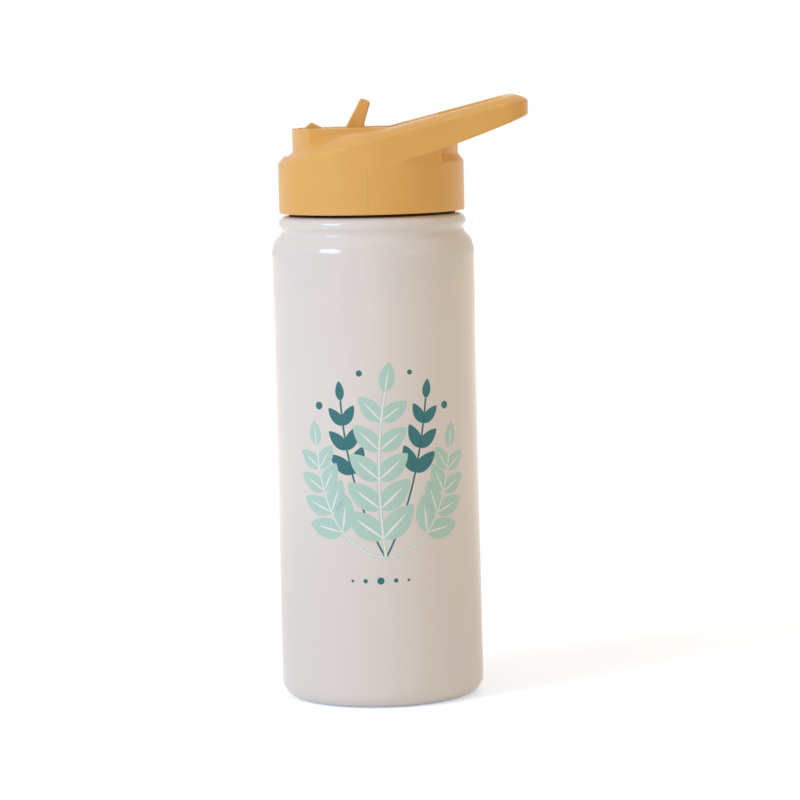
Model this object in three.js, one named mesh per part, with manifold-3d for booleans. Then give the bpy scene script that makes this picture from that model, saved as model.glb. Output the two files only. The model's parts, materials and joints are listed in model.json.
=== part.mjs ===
// A child's double-walled steel water bottle with a screw-in straw lid.
// Millimetres, +Z up. The origin is the centre of the flat base, on the bottle's axis.
// The carry loop points along +X and the spout folds down towards -X.
import * as THREE from "three";
import { mergeVertices } from "three/addons/utils/BufferGeometryUtils.js";
import Module from "manifold-3d";

const wasm = await Module();
wasm.setup();

// Clearances shared by every fit
const seatGap = 0.3;
const threadGap = 0.5;
const skirtGap = 0.9;

// Steel bottle, outside. The neck, and so the lid, is stepped in from the body.
const bodyRadius = 36.5;
const rimHeight = 173.7;
const shellWall = 0.6;
const baseCornerRadius = 5.7;
const footWidth = 3.8;
const baseCoverThickness = 1;
const shoulderRadius = 9.5;
const beadStep = 2.95;
const beadRoundness = 3;
const beadStart = -0.6;
const grooveDepth = 0.75;
const grooveHalfHeight = 1.1;
const grooveRunOut = 0.65;

// Steel bottle, inside
const vacuumGap = 3.1;
const linerWall = 0.6;
const linerFloorHeight = 7;
const linerCornerRadius = 9;
const neckStep = 5.95;
const neckWall = 1;
const neckDepth = 16;
const linerShoulderHeight = 7.5;
const vacuumPlateThickness = 0.8;
const vacuumPlateRise = 1.2;
const vacuumPlateRim = 1.5;
const sealBeadRadius = 2;
const sealBeadEdge = 0.4;
const sealDimpleRadius = 6;
const getterRadius = 5;
const getterThickness = 1.4;
const getterEdge = 0.4;
const getterSetback = 2;

// Screw thread between neck and inner lid, right-handed
const threadPitch = 4;
const neckThreadTurns = 1.25;
const lidThreadTurns = 1.5;
const threadEngagement = 0.8;
const threadFoot = 0.95;
const threadCrest = 0.45;
const threadRunOutTurns = 0.125;
const threadRunOutShare = 0.15;
const neckThreadDrop = 11.5;

// Lid shell: collar, sloping deck, tower and carry loop. Heights are above the collar's lower edge.
const lidGap = 1;
const collarStep = 0.3;
const collarHeight = 17.6;
const collarChamferWidth = 2.1;
const collarChamferHeight = 2.6;
const collarEdge = 0.6;
const mouldWall = 2.2;
const ridgeLift = 8;
const deckSlope = 0.235;
const crownRise = 3.1;
const loopCrownWidth = 6.5;
const tipCrownWidth = 11;
const tipCrownRun = 15;
const deckBulge = 1.7;
const deckDip = 0.8;
const deckWave = 30;
const loopOverhang = 22.75;
const loopTaper = THREE.MathUtils.degToRad(11);
const loopCornerRadius = 10;
const loopArmWidth = 9.2;
const loopBarWidth = 8.3;
const loopOpeningCorner = 4;
const loopTipThickness = 5.2;
const loopRootX = 6;
const loopRootDrop = 0.7;
const loopBelly = 0.9;
const towerStep = 3.65;
const towerShift = 1.7;
const towerHalfWidth = 18.4;
const towerLift = 12.5;
const towerEdge = 0.5;
const cheekSetback = 6.5;

// Flip spout and the channel it folds into
const pivotX = 7;
const pivotDrop = 8.1;
const barrelRadius = 5.5;
const barrelHalfWidth = 8.3;
const spoutSideGap = 0.5;
const trunnionRadius = 2.2;
const trunnionHoleDepth = 1.5;
const spoutTravel = THREE.MathUtils.degToRad(84);
const spoutHalfWidth = 7;
const spoutTipHalfWidth = 6;
const spoutTipChamfer = 2;
const spoutUnderside = 1.9;
const spoutBack = 6.4;
const spoutBoreRadius = 2.4;
const beakRise = 2.1;
const beakSetback = 3.6;
const tabHalfWidth = 5;
const tabHeight = 18.3;
const channelFloorGap = 1.3;
const channelFloorThickness = 1.8;
const channelTipWall = 2.3;
const channelTipGap = 1;
const channelTailWall = 4.3;

// Inner lid, seals, valve and straw
const flangeThickness = 2;
const gasketThickness = 1.3;
const gasketOverhang = 2.3;
const skirtWall = 2;
const skirtDepth = 18;
const sealRadius = 4.6;
const sealBoreRadius = 2.2;
const sealSeatHeight = 4.2;
const sealWrap = 1;
const sealCupWall = 1.5;
const strawRadius = 3.6;
const strawWall = 0.8;
const strawFootGap = 4.5;
const strawBevelDrop = 6;
const strawSocketWall = 1.5;
const strawSocketDepth = 12;
const strawStopDepth = 2;
const valveX = -14;
const valveStemRadius = 1.3;
const valveHeadRadius = 4.2;
const valveHeadThickness = 1.2;
const valveLipThickness = 0.3;
const valveBulbRadius = 2.1;
const valveBulbHeight = 1.8;
const ventRadius = 0.9;

// Facets round a full turn, and steps along the smaller curves
const turnSteps = 48;
const smallTurnSteps = 20;
const holeSteps = 12;
const crownSteps = 4;
const loopSteps = 8;
const cornerSteps = 6;

// Sizes that follow from the driving ones
const quarter = Math.PI / 2;
const { lerp, clamp } = THREE.MathUtils;
const beadRadius = bodyRadius - beadStep;
const linerOuterRadius = bodyRadius - shellWall - vacuumGap;
const neckBoreRadius = beadRadius - neckStep;
const neckOuterRadius = neckBoreRadius + neckWall;
const baseOpeningRadius = bodyRadius - baseCornerRadius - footWidth;
const baseCoverRadius = baseOpeningRadius - seatGap;
const plateFoot = Math.max(shellWall, baseCoverThickness);
const plateHeight = plateFoot + vacuumPlateRise;
const plateTop = plateHeight + vacuumPlateThickness;
const lidCrestRadius = neckBoreRadius - threadGap;
const neckCrestRadius = lidCrestRadius - threadEngagement;
const skirtRadius = neckCrestRadius - skirtGap;
const lidBottom = rimHeight + lidGap;
const collarRadius = beadRadius - collarStep;
const collarTop = collarHeight + collarChamferHeight;
const ridgeHeight = collarHeight + ridgeLift;
const towerRadius = collarRadius - towerStep;
const towerHeight = collarHeight + towerLift;
const loopReach = collarRadius + loopOverhang;
const cheekEndX = towerShift + towerRadius - cheekSetback;
const shellHollowRadius = collarRadius - mouldWall;
const pivotHeight = towerHeight - pivotDrop;
const channelStartX = towerShift - towerRadius + channelTipWall;
const channelEndX = towerShift + towerRadius - channelTailWall;
const channelFloorHeight = pivotHeight - barrelRadius - channelFloorGap;
const channelHalfWidth = barrelHalfWidth + spoutSideGap;
const channelWallOuter = channelHalfWidth + mouldWall;
const trunnionHoleEnd = channelHalfWidth + trunnionHoleDepth;
const trunnionHalfSpan = trunnionHoleEnd - seatGap;
const spoutLength = pivotX - channelStartX - channelTipGap;
const beakHeight = pivotDrop + beakRise;
const beakBack = spoutLength - beakSetback;
const boreTilt = quarter - spoutTravel;
const flangeHeight = gasketThickness - lidGap;
const flangeTop = flangeHeight + flangeThickness;
const strawSocketRadius = strawRadius + seatGap;
const sealSocketRadius = sealRadius + seatGap;

// Height of the ridge round the deck, and width and rise of the crown inside it, at a place along the lid
const ridgeLine = (x) => ridgeHeight + deckSlope * x;
const crownWidthAt = (x) => lerp(loopCrownWidth, tipCrownWidth, clamp(-x / tipCrownRun, 0, 1));
const crownWaveAt = (x) => (x < 0 ? deckBulge : deckDip) * Math.sin(Math.PI * clamp(x / deckWave, -1, 1));
const crownAt = (x) => crownRise - crownWaveAt(x);

// Solids

// A geometry as a manifold solid, its shared vertices merged by position alone.
function solid(geometry) {
  const bare = geometry.index ? geometry.toNonIndexed() : geometry.clone();
  bare.deleteAttribute("normal");
  bare.deleteAttribute("uv");
  const merged = mergeVertices(bare, 1e-4);
  return new wasm.Manifold(
    new wasm.Mesh({
      numProp: 3,
      vertProperties: merged.attributes.position.array,
      triVerts: new Uint32Array(merged.index.array),
    }),
  );
}

function geometryOf(body) {
  const mesh = body.getMesh();
  const points = new Float32Array(mesh.numVert * 3);
  for (let i = 0; i < mesh.numVert; i++) {
    points.set(mesh.vertProperties.subarray(i * mesh.numProp, i * mesh.numProp + 3), i * 3);
  }
  const indexed = new THREE.BufferGeometry();
  indexed.setAttribute("position", new THREE.BufferAttribute(points, 3));
  indexed.setIndex(new THREE.BufferAttribute(mesh.triVerts, 1));
  const flat = indexed.toNonIndexed();
  flat.computeVertexNormals();
  return flat;
}

// Points [radius, height] of an arc in a profile, angles in radians from the outward direction.
function arc(centreR, centreZ, radius, from, to, steps) {
  return Array.from({ length: steps + 1 }, (_, i) => {
    const a = from + ((to - from) * i) / steps;
    return [centreR + radius * Math.cos(a), centreZ + radius * Math.sin(a)];
  });
}

// A closed profile of [radius, height] points, anticlockwise, turned round the Z axis.
function turned(profile, steps = turnSteps) {
  const loop = [...profile, profile[0]].map(([r, z]) => new THREE.Vector2(Math.max(r, 0), z));
  return solid(new THREE.LatheGeometry(loop, steps).rotateX(Math.PI / 2));
}

const disc = (radius, low, high, steps = turnSteps) =>
  turned([[0, low], [radius, low], [radius, high], [0, high]], steps);

const ring = (inner, outer, low, high, steps = turnSteps) =>
  turned([[inner, low], [outer, low], [outer, high], [inner, high]], steps);

function box(x0, x1, y0, y1, z0, z1) {
  const shape = new THREE.BoxGeometry(x1 - x0, y1 - y0, z1 - z0);
  return solid(shape.translate((x0 + x1) / 2, (y0 + y1) / 2, (z0 + z1) / 2));
}

// An outline of [x, y] points extruded between two heights.
function upright(outline, low, high) {
  const shape = new THREE.Shape(outline.map(([x, y]) => new THREE.Vector2(x, y)));
  const made = new THREE.ExtrudeGeometry(shape, { depth: high - low, bevelEnabled: false });
  return solid(made.translate(0, 0, low));
}

// A side outline of [x, z] points extruded across the bottle, to either side of y = 0.
function sideways(outline, halfWidth) {
  const shape = new THREE.Shape(outline.map(([x, z]) => new THREE.Vector2(x, z)));
  const made = new THREE.ExtrudeGeometry(shape, { depth: 2 * halfWidth, bevelEnabled: false });
  return solid(made.rotateX(Math.PI / 2).translate(0, halfWidth, 0));
}

// A round bar across the bottle.
function crossBar(x, z, radius, halfWidth, steps = smallTurnSteps * 2) {
  const bar = new THREE.CylinderGeometry(radius, radius, 2 * halfWidth, steps);
  return solid(bar.translate(x, 0, z));
}

// A closed skin through rings of [x, y, z] points, which run anticlockwise seen from the skin's far end.
// The cap lists the triangles that close one ring.
function skinned(rings, cap) {
  const count = rings[0].length;
  const last = (rings.length - 1) * count;
  const index = [];
  for (let k = 0; k < last; k += count) {
    for (let i = 0; i < count; i++) {
      const [a, b] = [k + i, k + ((i + 1) % count)];
      index.push(a, b, b + count, a, b + count, a + count);
    }
  }
  for (const [a, b, c] of cap) index.push(a, c, b, last + a, last + b, last + c);
  const made = new THREE.BufferGeometry();
  made.setAttribute("position", new THREE.Float32BufferAttribute(rings.flat(2), 3));
  made.setIndex(index);
  return solid(made);
}

// A skin through level rings, whose flat ends are filled.
function lofted(rings) {
  const outline = rings[0].map(([x, y]) => new THREE.Vector2(x, y));
  return skinned(rings, THREE.ShapeUtils.triangulateShape(outline, []));
}

// A screw thread of trapezium section that climbs anticlockwise, from its foot radius to its crest radius.
function helicalRidge(footRadius, crestRadius, startHeight, turns) {
  const steps = Math.round(turns * turnSteps);
  const runOut = turnSteps * threadRunOutTurns;
  const rings = [];
  for (let i = 0; i <= steps; i++) {
    const turn = i / turnSteps;
    const full = Math.min(1, i / runOut, (steps - i) / runOut);
    const crest = lerp(footRadius, crestRadius, lerp(threadRunOutShare, 1, full));
    const section = [
      [footRadius, -threadFoot],
      [crest, -threadCrest],
      [crest, threadCrest],
      [footRadius, threadFoot],
    ];
    const angle = 2 * Math.PI * turn;
    const height = startHeight + threadPitch * turn;
    rings.push(section.map(([r, dz]) => [r * Math.cos(angle), r * Math.sin(angle), height + dz]));
  }
  const outward = crestRadius > footRadius;
  return skinned(outward ? rings.map((ring) => ring.reverse()) : rings, [[0, 1, 2], [0, 2, 3]]);
}

// Bottle pieces

const beadCentre = [beadRadius - beadRoundness, rimHeight - beadRoundness];
const grooveRadius = beadRadius - grooveDepth;
const grooveHeight = beadCentre[1] + beadRoundness * Math.sin(beadStart) - grooveHalfHeight;
const shoulderCentreR = bodyRadius - shoulderRadius;
const shoulderEnd = Math.acos((grooveRadius + grooveRunOut - shoulderCentreR) / shoulderRadius);
const shoulderStart = grooveHeight - 2 * grooveRunOut - shoulderRadius * Math.sin(shoulderEnd);
const footCentre = [bodyRadius - baseCornerRadius, baseCornerRadius];

// The shell's outline from foot to rim, or its inside when drawn a wall thinner.
function shellSkin(wall) {
  return [
    ...arc(...footCentre, baseCornerRadius - wall, -quarter, 0, cornerSteps),
    ...arc(shoulderCentreR, shoulderStart, shoulderRadius - wall, 0, shoulderEnd, cornerSteps),
    [grooveRadius - wall, grooveHeight],
    ...arc(...beadCentre, beadRoundness - wall, beadStart, quarter, cornerSteps),
  ];
}

function makeOuterShell() {
  const lip = neckOuterRadius + seatGap;
  return turned([
    [baseOpeningRadius, 0],
    ...shellSkin(0),
    [lip, rimHeight],
    [lip, rimHeight - shellWall],
    ...shellSkin(shellWall).reverse(),
    [baseOpeningRadius, shellWall],
  ]);
}

function makeInnerLiner() {
  const corner = [linerOuterRadius - linerCornerRadius, linerFloorHeight + linerCornerRadius];
  const neckFoot = rimHeight - neckDepth;
  const wallTop = neckFoot - linerShoulderHeight;
  const cup = turned([
    [0, linerFloorHeight],
    ...arc(...corner, linerCornerRadius, -quarter, 0, cornerSteps),
    [linerOuterRadius, wallTop],
    [neckOuterRadius, neckFoot],
    [neckOuterRadius, rimHeight],
    [neckBoreRadius, rimHeight],
    [neckBoreRadius, neckFoot - neckWall],
    [linerOuterRadius - linerWall, wallTop - linerWall],
    ...arc(...corner, linerCornerRadius - linerWall, -quarter, 0, cornerSteps).reverse(),
    [0, linerFloorHeight + linerWall],
  ]);
  const rooted = neckBoreRadius + neckWall / 2;
  return cup.add(helicalRidge(rooted, neckCrestRadius, rimHeight - neckThreadDrop, neckThreadTurns));
}

// The plate that closes the vacuum space: a raised disc with a rim on the shell's foot, and a dimple
// pierced for the seal.
function makeVacuumBase() {
  const thick = vacuumPlateThickness;
  const hole = sealBeadRadius + seatGap;
  const rimInner = baseCoverRadius - vacuumPlateRim;
  const rimOuter = footCentre[0] - seatGap;
  return turned([
    [hole, plateHeight - thick],
    [sealDimpleRadius, plateHeight],
    [rimInner - vacuumPlateRim, plateHeight],
    [rimInner, plateFoot],
    [rimOuter, plateFoot],
    [rimOuter, plateFoot + thick],
    [rimInner + thick / 2, plateFoot + thick],
    [rimInner - vacuumPlateRim + thick / 2, plateTop],
    [sealDimpleRadius, plateTop],
    [hole, plateTop - thick],
  ]);
}

// The bead of glass fills the dimple's hole and domes a little above it.
function makeSealBead() {
  const low = plateHeight - vacuumPlateThickness;
  const dome = arc(0, 0, 1, 0, quarter, cornerSteps).map(([r, rise]) => [
    sealBeadRadius * r,
    lerp(low + sealBeadEdge, plateTop, rise),
  ]);
  return turned([[0, low], [sealBeadRadius, low], ...dome], smallTurnSteps);
}

function makeGetter() {
  return turned(
    [
      [0, 0],
      [getterRadius, 0],
      [getterRadius, getterThickness - getterEdge],
      [getterRadius - getterEdge, getterThickness],
      [0, getterThickness],
    ],
    smallTurnSteps,
  );
}

// Lid shell

// The lid's plan seen from above, drawn in by an inset: the collar's round, two tapering arms, the loop.
const loopCornerX = loopReach - loopCornerRadius;
const armOffset = (x) => (collarRadius - x * Math.sin(loopTaper)) / Math.cos(loopTaper);
const loopCornerY = armOffset(loopCornerX) - loopCornerRadius / Math.cos(loopTaper);
const collarArcSteps = Math.round((turnSteps * (quarter + loopTaper)) / Math.PI);

function lidPlan(inset) {
  const corner = loopCornerRadius - inset;
  return [
    ...arc(0, 0, collarRadius - inset, quarter - loopTaper, 3 * quarter + loopTaper, collarArcSteps),
    ...arc(loopCornerX, -loopCornerY, corner, loopTaper - quarter, 0, cornerSteps),
    ...arc(loopCornerX, loopCornerY, corner, 0, quarter - loopTaper, cornerSteps),
  ];
}

// A solid of such a plan, whose top climbs from the sloping ridge at its edge over a crown that levels out
// inwards. The crown is wider and higher towards the spout's tip, and dips a little before the loop.
function deckPrism(outline, low, drop = 0) {
  const foot = outline(0);
  const rings = [foot.map(([x, y]) => [x, y, low])];
  for (let i = 0; i <= crownSteps; i++) {
    const t = i / crownSteps;
    const share = 1 - (1 - t) ** 2;
    const ring = foot.map(([footX], k) => {
      const [x, y] = outline(crownWidthAt(footX) * t)[k];
      return [x, y, ridgeLine(x) + crownAt(x) * share - drop];
    });
    rings.push(ring);
  }
  return lofted(rings);
}

const roundPlan = (radius) => (inset) => arc(0, 0, radius - inset, 0, 2 * Math.PI, turnSteps).slice(0, -1);

// The loop seen from the side: its underside is a shallow arc from its root on the collar to its tip.
function loopSide() {
  const run = loopReach - loopRootX;
  const root = collarHeight - loopRootDrop;
  const rise = ridgeLine(loopReach) - loopTipThickness - root;
  const under = Array.from({ length: loopSteps + 1 }, (_, i) => {
    const t = i / loopSteps;
    return [loopRootX + run * t, root + rise * t - 4 * loopBelly * t * (1 - t)];
  });
  const [left, right] = [-2 * collarRadius, 2 * loopReach];
  const [low, high] = [collarHeight / 2, ridgeLine(right)];
  return [[left, low], [loopRootX, low], ...under, [right, root + 2 * rise], [right, high], [left, high]];
}

function loopOpening() {
  const inner = (x) => armOffset(x) - loopArmWidth / Math.cos(loopTaper);
  const endX = loopReach - loopBarWidth - loopOpeningCorner;
  const cornerY = inner(endX) - loopOpeningCorner / Math.cos(loopTaper);
  return [
    [cheekEndX, inner(cheekEndX)],
    [cheekEndX, -inner(cheekEndX)],
    ...arc(endX, -cornerY, loopOpeningCorner, loopTaper - quarter, 0, cornerSteps),
    ...arc(endX, cornerY, loopOpeningCorner, 0, quarter - loopTaper, cornerSteps),
  ];
}

// The tower is a drum with two flat sides. Drawn in, it is also the drum's hollow.
function tower(inset, low, high) {
  const radius = towerRadius - inset;
  const half = towerHalfWidth - inset;
  const slab = box(-2 * radius, 2 * radius, -half, half, low, high);
  return disc(radius, low, high).translate([towerShift, 0, 0]).intersect(slab);
}

const overPivot = (body) => body.translate([pivotX, 0, 0]);
const overValve = (body) => body.translate([valveX, 0, 0]);

// The shell's outside, before it is hollowed.
function lidForm() {
  const reach = 2 * loopReach;
  const collar = turned([
    [0, 0],
    [collarRadius - collarEdge, 0],
    [collarRadius, collarEdge],
    [collarRadius, collarHeight],
    [collarRadius - collarChamferWidth, collarTop],
    [0, collarTop],
  ]);
  const loop = deckPrism(lidPlan, 0)
    .intersect(sideways(loopSide(), reach))
    .subtract(upright(loopOpening(), -reach, reach));
  const deck = deckPrism(roundPlan(collarRadius), collarHeight / 2)
    .intersect(box(-reach, cheekEndX, -reach, reach, 0, reach));
  const crown = tower(0, collarHeight / 2, towerHeight - towerEdge)
    .add(tower(towerEdge, collarHeight / 2, towerHeight));
  return collar.add(loop).add(deck).add(crown);
}

// The room inside the shell, round the walls and floor of the spout's channel.
function lidHollow() {
  const reach = 2 * loopReach;
  const ceiling = towerHeight - mouldWall;
  const underDeck = deckPrism(roundPlan(shellHollowRadius), -reach, mouldWall)
    .intersect(box(-reach, cheekEndX - mouldWall, -reach, reach, -reach, ceiling));
  const channelWalls = box(
    channelStartX - mouldWall,
    channelEndX + mouldWall,
    -channelWallOuter,
    channelWallOuter,
    channelFloorHeight - channelFloorThickness,
    reach,
  );
  return disc(shellHollowRadius, -reach, collarHeight - seatGap)
    .add(underDeck)
    .add(tower(mouldWall, 0, ceiling))
    .subtract(channelWalls);
}

function makeLidShell() {
  const above = channelFloorHeight + 1;
  const channel = box(
    channelStartX,
    channelEndX,
    -channelHalfWidth,
    channelHalfWidth,
    channelFloorHeight,
    2 * towerHeight,
  );
  const cuts = [
    lidHollow(),
    channel,
    crossBar(pivotX, pivotHeight, trunnionRadius + seatGap, trunnionHoleEnd),
    overPivot(disc(sealSocketRadius, 0, above, smallTurnSteps)),
    overValve(disc(ventRadius, 0, above, holeSteps)),
  ];
  return cuts.reduce((left, cut) => left.subtract(cut), lidForm());
}

// Inner lid: a threaded skirt under a flange, with the straw's socket below and the seal's cup above.
// Its thread starts half a pitch below the neck's, so that the two run side by side.
function makeInnerLid() {
  const cupTop = channelFloorHeight - channelFloorThickness - seatGap;
  const socketFoot = flangeHeight - strawSocketDepth;
  const socketStop = flangeHeight - strawStopDepth;
  const threadStart = -lidGap - neckThreadDrop - threadPitch / 2;
  const body = [
    disc(shellHollowRadius - seatGap, flangeHeight, flangeTop),
    ring(skirtRadius - skirtWall, skirtRadius, flangeHeight - skirtDepth, flangeTop),
    overPivot(disc(sealSocketRadius + sealCupWall, flangeHeight, cupTop, smallTurnSteps)),
    overPivot(disc(strawSocketRadius + strawSocketWall, socketFoot, flangeTop, smallTurnSteps)),
    helicalRidge(skirtRadius - skirtWall / 2, lidCrestRadius, threadStart, lidThreadTurns),
  ].reduce((all, one) => all.add(one));
  const cuts = [
    overPivot(disc(sealSocketRadius, sealSeatHeight, channelFloorHeight, smallTurnSteps)),
    overPivot(disc(sealBoreRadius, socketStop - 1, channelFloorHeight, smallTurnSteps)),
    overPivot(disc(strawSocketRadius, socketFoot - 1, socketStop, smallTurnSteps)),
    overValve(disc(valveStemRadius + seatGap, flangeHeight - 1, flangeTop + 1, holeSteps)),
  ];
  return cuts.reduce((left, cut) => left.subtract(cut), body);
}

// The seal's top is hollowed to the round of the spout's barrel.
function makeSpoutSeal() {
  const top = pivotHeight - barrelRadius + sealWrap;
  return ring(sealBoreRadius, sealRadius, sealSeatHeight, top, smallTurnSteps).subtract(
    crossBar(0, pivotHeight, barrelRadius + seatGap, 2 * sealRadius),
  );
}

// An umbrella valve: its thin head lies under the flange, and a bulb above holds it in.
function makeVentValve() {
  const head = flangeHeight - valveHeadThickness;
  const bulb = flangeTop + seatGap;
  return turned(
    [
      [0, head],
      [valveHeadRadius / 2, head],
      [valveHeadRadius, flangeHeight - valveLipThickness],
      [valveHeadRadius, flangeHeight],
      [valveStemRadius, flangeHeight],
      [valveStemRadius, bulb],
      [valveBulbRadius, bulb],
      [valveStemRadius, bulb + valveBulbHeight],
      [0, bulb + valveBulbHeight],
    ],
    smallTurnSteps,
  );
}

// The straw hangs from its socket to just above the liner's floor, its foot cut on the slant.
function makeStraw() {
  const high = flangeHeight - strawStopDepth - seatGap;
  const low = linerFloorHeight + linerWall + strawFootGap - lidBottom;
  const reach = 2 * strawRadius;
  const slant = [
    [-reach, low - reach],
    [reach, low - reach],
    [reach, low + 1.5 * strawBevelDrop],
    [-reach, low - 0.5 * strawBevelDrop],
  ];
  return ring(strawRadius - strawWall, strawRadius, low, high, smallTurnSteps).subtract(
    sideways(slant, reach),
  );
}

// Flip spout, drawn round its pivot in the closed position. Its tip is at -X and its thumb tab stands up.
function makeFlipSpout() {
  const tip = -spoutLength;
  const mouthpieceSide = [
    [-beakBack, beakHeight],
    [tip + 0.6, beakHeight - 2.4],
    [tip, beakHeight - 4.2],
    [tip + 0.4, 2.4 - spoutUnderside],
    [tip + 3.2, 0.6 - spoutUnderside],
    [-barrelRadius * 0.94, -spoutUnderside],
    [0, -spoutUnderside],
    [0, barrelRadius * 0.95],
    [-4, spoutBack - 0.3],
    [8 - beakBack, spoutBack + 0.2],
    [4.2 - beakBack, spoutBack + 1.7],
  ];
  const mouthpiecePlan = [
    [tip, spoutTipChamfer - spoutTipHalfWidth],
    [tip + spoutTipChamfer, -spoutTipHalfWidth],
    [-barrelRadius, -spoutHalfWidth],
    [0, -spoutHalfWidth],
    [0, spoutHalfWidth],
    [-barrelRadius, spoutHalfWidth],
    [tip + spoutTipChamfer, spoutTipHalfWidth],
    [tip, spoutTipHalfWidth - spoutTipChamfer],
  ];
  const tabSide = [
    [-16.2, spoutBack - 1],
    [-7.9, spoutBack - 1],
    [-8.6, spoutBack + 1.8],
    [-9.1, spoutBack + 2.8],
    [-6.8, tabHeight - 1.8],
    [-7.3, tabHeight - 0.9],
    [-9.7, tabHeight],
    [-10.4, tabHeight - 0.4],
    [-15.7, spoutBack + 1.8],
  ];
  const body = sideways(mouthpieceSide, barrelHalfWidth)
    .intersect(upright(mouthpiecePlan, -spoutLength, spoutLength))
    .add(crossBar(0, 0, barrelRadius, barrelHalfWidth))
    .add(crossBar(0, 0, trunnionRadius, trunnionHalfSpan))
    .add(sideways(tabSide, tabHalfWidth));
  const bore = new THREE.CylinderGeometry(spoutBoreRadius, spoutBoreRadius, 3 * spoutLength, smallTurnSteps);
  return body.subtract(solid(bore.rotateZ(quarter).rotateY(boreTilt)));
}

// Colours and assembly

const paint = new THREE.MeshStandardMaterial({ color: 0xe9e2db, roughness: 0.18, metalness: 0 });
const steel = new THREE.MeshStandardMaterial({ color: 0xb9bbbd, roughness: 0.35, metalness: 1 });
const lidPlastic = new THREE.MeshStandardMaterial({ color: 0xe6ab58, roughness: 0.45, metalness: 0 });
const blackSilicone = new THREE.MeshStandardMaterial({ color: 0x17140f, roughness: 0.6, metalness: 0 });
const clearSilicone = new THREE.MeshStandardMaterial({ color: 0xe8e8e2, roughness: 0.5, metalness: 0 });
const strawPlastic = new THREE.MeshStandardMaterial({ color: 0xeef0ee, roughness: 0.3, metalness: 0 });
const getterMetal = new THREE.MeshStandardMaterial({ color: 0x77777a, roughness: 0.6, metalness: 1 });
const sealGlass = new THREE.MeshStandardMaterial({ color: 0x3a3f3d, roughness: 0.15, metalness: 0 });

function named(name, body, material) {
  const mesh = new THREE.Mesh(geometryOf(body), material);
  mesh.name = name;
  return mesh;
}

const bottle = new THREE.Group();
bottle.add(
  named("outer_shell", makeOuterShell(), paint),
  named("inner_liner", makeInnerLiner(), steel),
  named("vacuum_base", makeVacuumBase(), steel),
  named("vacuum_seal_bead", makeSealBead(), sealGlass),
  named("base_cover", disc(baseCoverRadius, 0, baseCoverThickness), steel),
);
const getter = named("getter", makeGetter(), getterMetal);
getter.position.set(sealDimpleRadius + getterSetback + getterRadius, 0, plateTop);
bottle.add(getter);

const gasketRing = ring(skirtRadius + seatGap, neckBoreRadius + gasketOverhang, -lidGap, flangeHeight);
const lid = new THREE.Group();
lid.position.z = lidBottom;
lid.add(
  named("lid_shell", makeLidShell(), lidPlastic),
  named("inner_lid", makeInnerLid(), lidPlastic),
  named("lid_gasket", gasketRing, blackSilicone),
);
const drinkingLine = new THREE.Group();
drinkingLine.position.x = pivotX;
const flipSpout = named("flip_spout", makeFlipSpout(), lidPlastic);
flipSpout.position.z = pivotHeight;
drinkingLine.add(
  flipSpout,
  named("spout_seal", makeSpoutSeal(), clearSilicone),
  named("straw", makeStraw(), strawPlastic),
);
const ventValve = named("vent_valve", makeVentValve(), clearSilicone);
ventValve.position.x = valveX;
lid.add(drinkingLine, ventValve);

const waterBottle = new THREE.Group();
waterBottle.add(bottle, lid);

export default waterBottle;
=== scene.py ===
# %% [markdown]
# A child's insulated water bottle: a glossy cream steel bottle with a printed spray of leaves, and a
# mustard plastic lid with a sloping carry loop and a spout that folds down into it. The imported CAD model
# gives every size and place. This script dresses it: finer surfaces where the CAD solids are faceted, a
# print on the paint, a finish for each part, a camera and a light set-up.

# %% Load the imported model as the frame
import json
import math

import bmesh
import bpy
from mathutils import Matrix, Vector


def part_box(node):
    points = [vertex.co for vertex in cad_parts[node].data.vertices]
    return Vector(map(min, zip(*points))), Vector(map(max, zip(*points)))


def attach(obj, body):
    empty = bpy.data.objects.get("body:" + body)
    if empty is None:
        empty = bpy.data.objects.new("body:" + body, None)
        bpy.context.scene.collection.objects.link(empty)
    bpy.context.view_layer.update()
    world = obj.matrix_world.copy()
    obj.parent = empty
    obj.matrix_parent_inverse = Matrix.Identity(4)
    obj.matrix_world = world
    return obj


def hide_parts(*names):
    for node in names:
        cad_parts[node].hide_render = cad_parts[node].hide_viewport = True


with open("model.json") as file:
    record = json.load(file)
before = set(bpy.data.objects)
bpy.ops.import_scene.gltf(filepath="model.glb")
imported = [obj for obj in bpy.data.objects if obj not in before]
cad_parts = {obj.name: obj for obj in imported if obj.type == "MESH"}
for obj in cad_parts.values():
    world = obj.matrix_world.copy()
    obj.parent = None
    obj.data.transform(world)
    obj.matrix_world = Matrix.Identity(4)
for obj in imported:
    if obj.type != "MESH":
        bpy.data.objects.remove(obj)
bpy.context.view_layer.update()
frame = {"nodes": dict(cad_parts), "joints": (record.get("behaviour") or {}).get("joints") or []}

nodes = frame["nodes"]
print("CAD nodes:", ", ".join(sorted(nodes)))

# %% [markdown]
# Drawings are in millimetres, because that is how a bottle is drawn, and Blender wants metres. One small
# set of helpers does the change of unit, makes a piece from points and faces, and turns a piece with
# modifiers into a plain mesh. An arc helper draws every round corner, so an outline has few typed points.

# %% Helpers for drawing in millimetres
MM = 0.001
QUARTER = math.pi / 2


def arc(centre_x, centre_y, radius, start, end, steps):
    """Points round a centre, from one angle to another in radians."""
    angles = [start + (end - start) * i / steps for i in range(steps + 1)]
    return [(centre_x + radius * math.cos(a), centre_y + radius * math.sin(a)) for a in angles]


def mix(a, b, share):
    return a + (b - a) * share


def clamp(value, low, high):
    return max(low, min(high, value))


def piece_from(name, points, faces, edges=()):
    mesh = bpy.data.meshes.new(name)
    mesh.from_pydata([Vector(p) * MM for p in points], list(edges), faces)
    piece = bpy.data.objects.new(name, mesh)
    bpy.context.scene.collection.objects.link(piece)
    return piece


def discard(piece):
    mesh = piece.data
    bpy.data.objects.remove(piece)
    bpy.data.meshes.remove(mesh)


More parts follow.
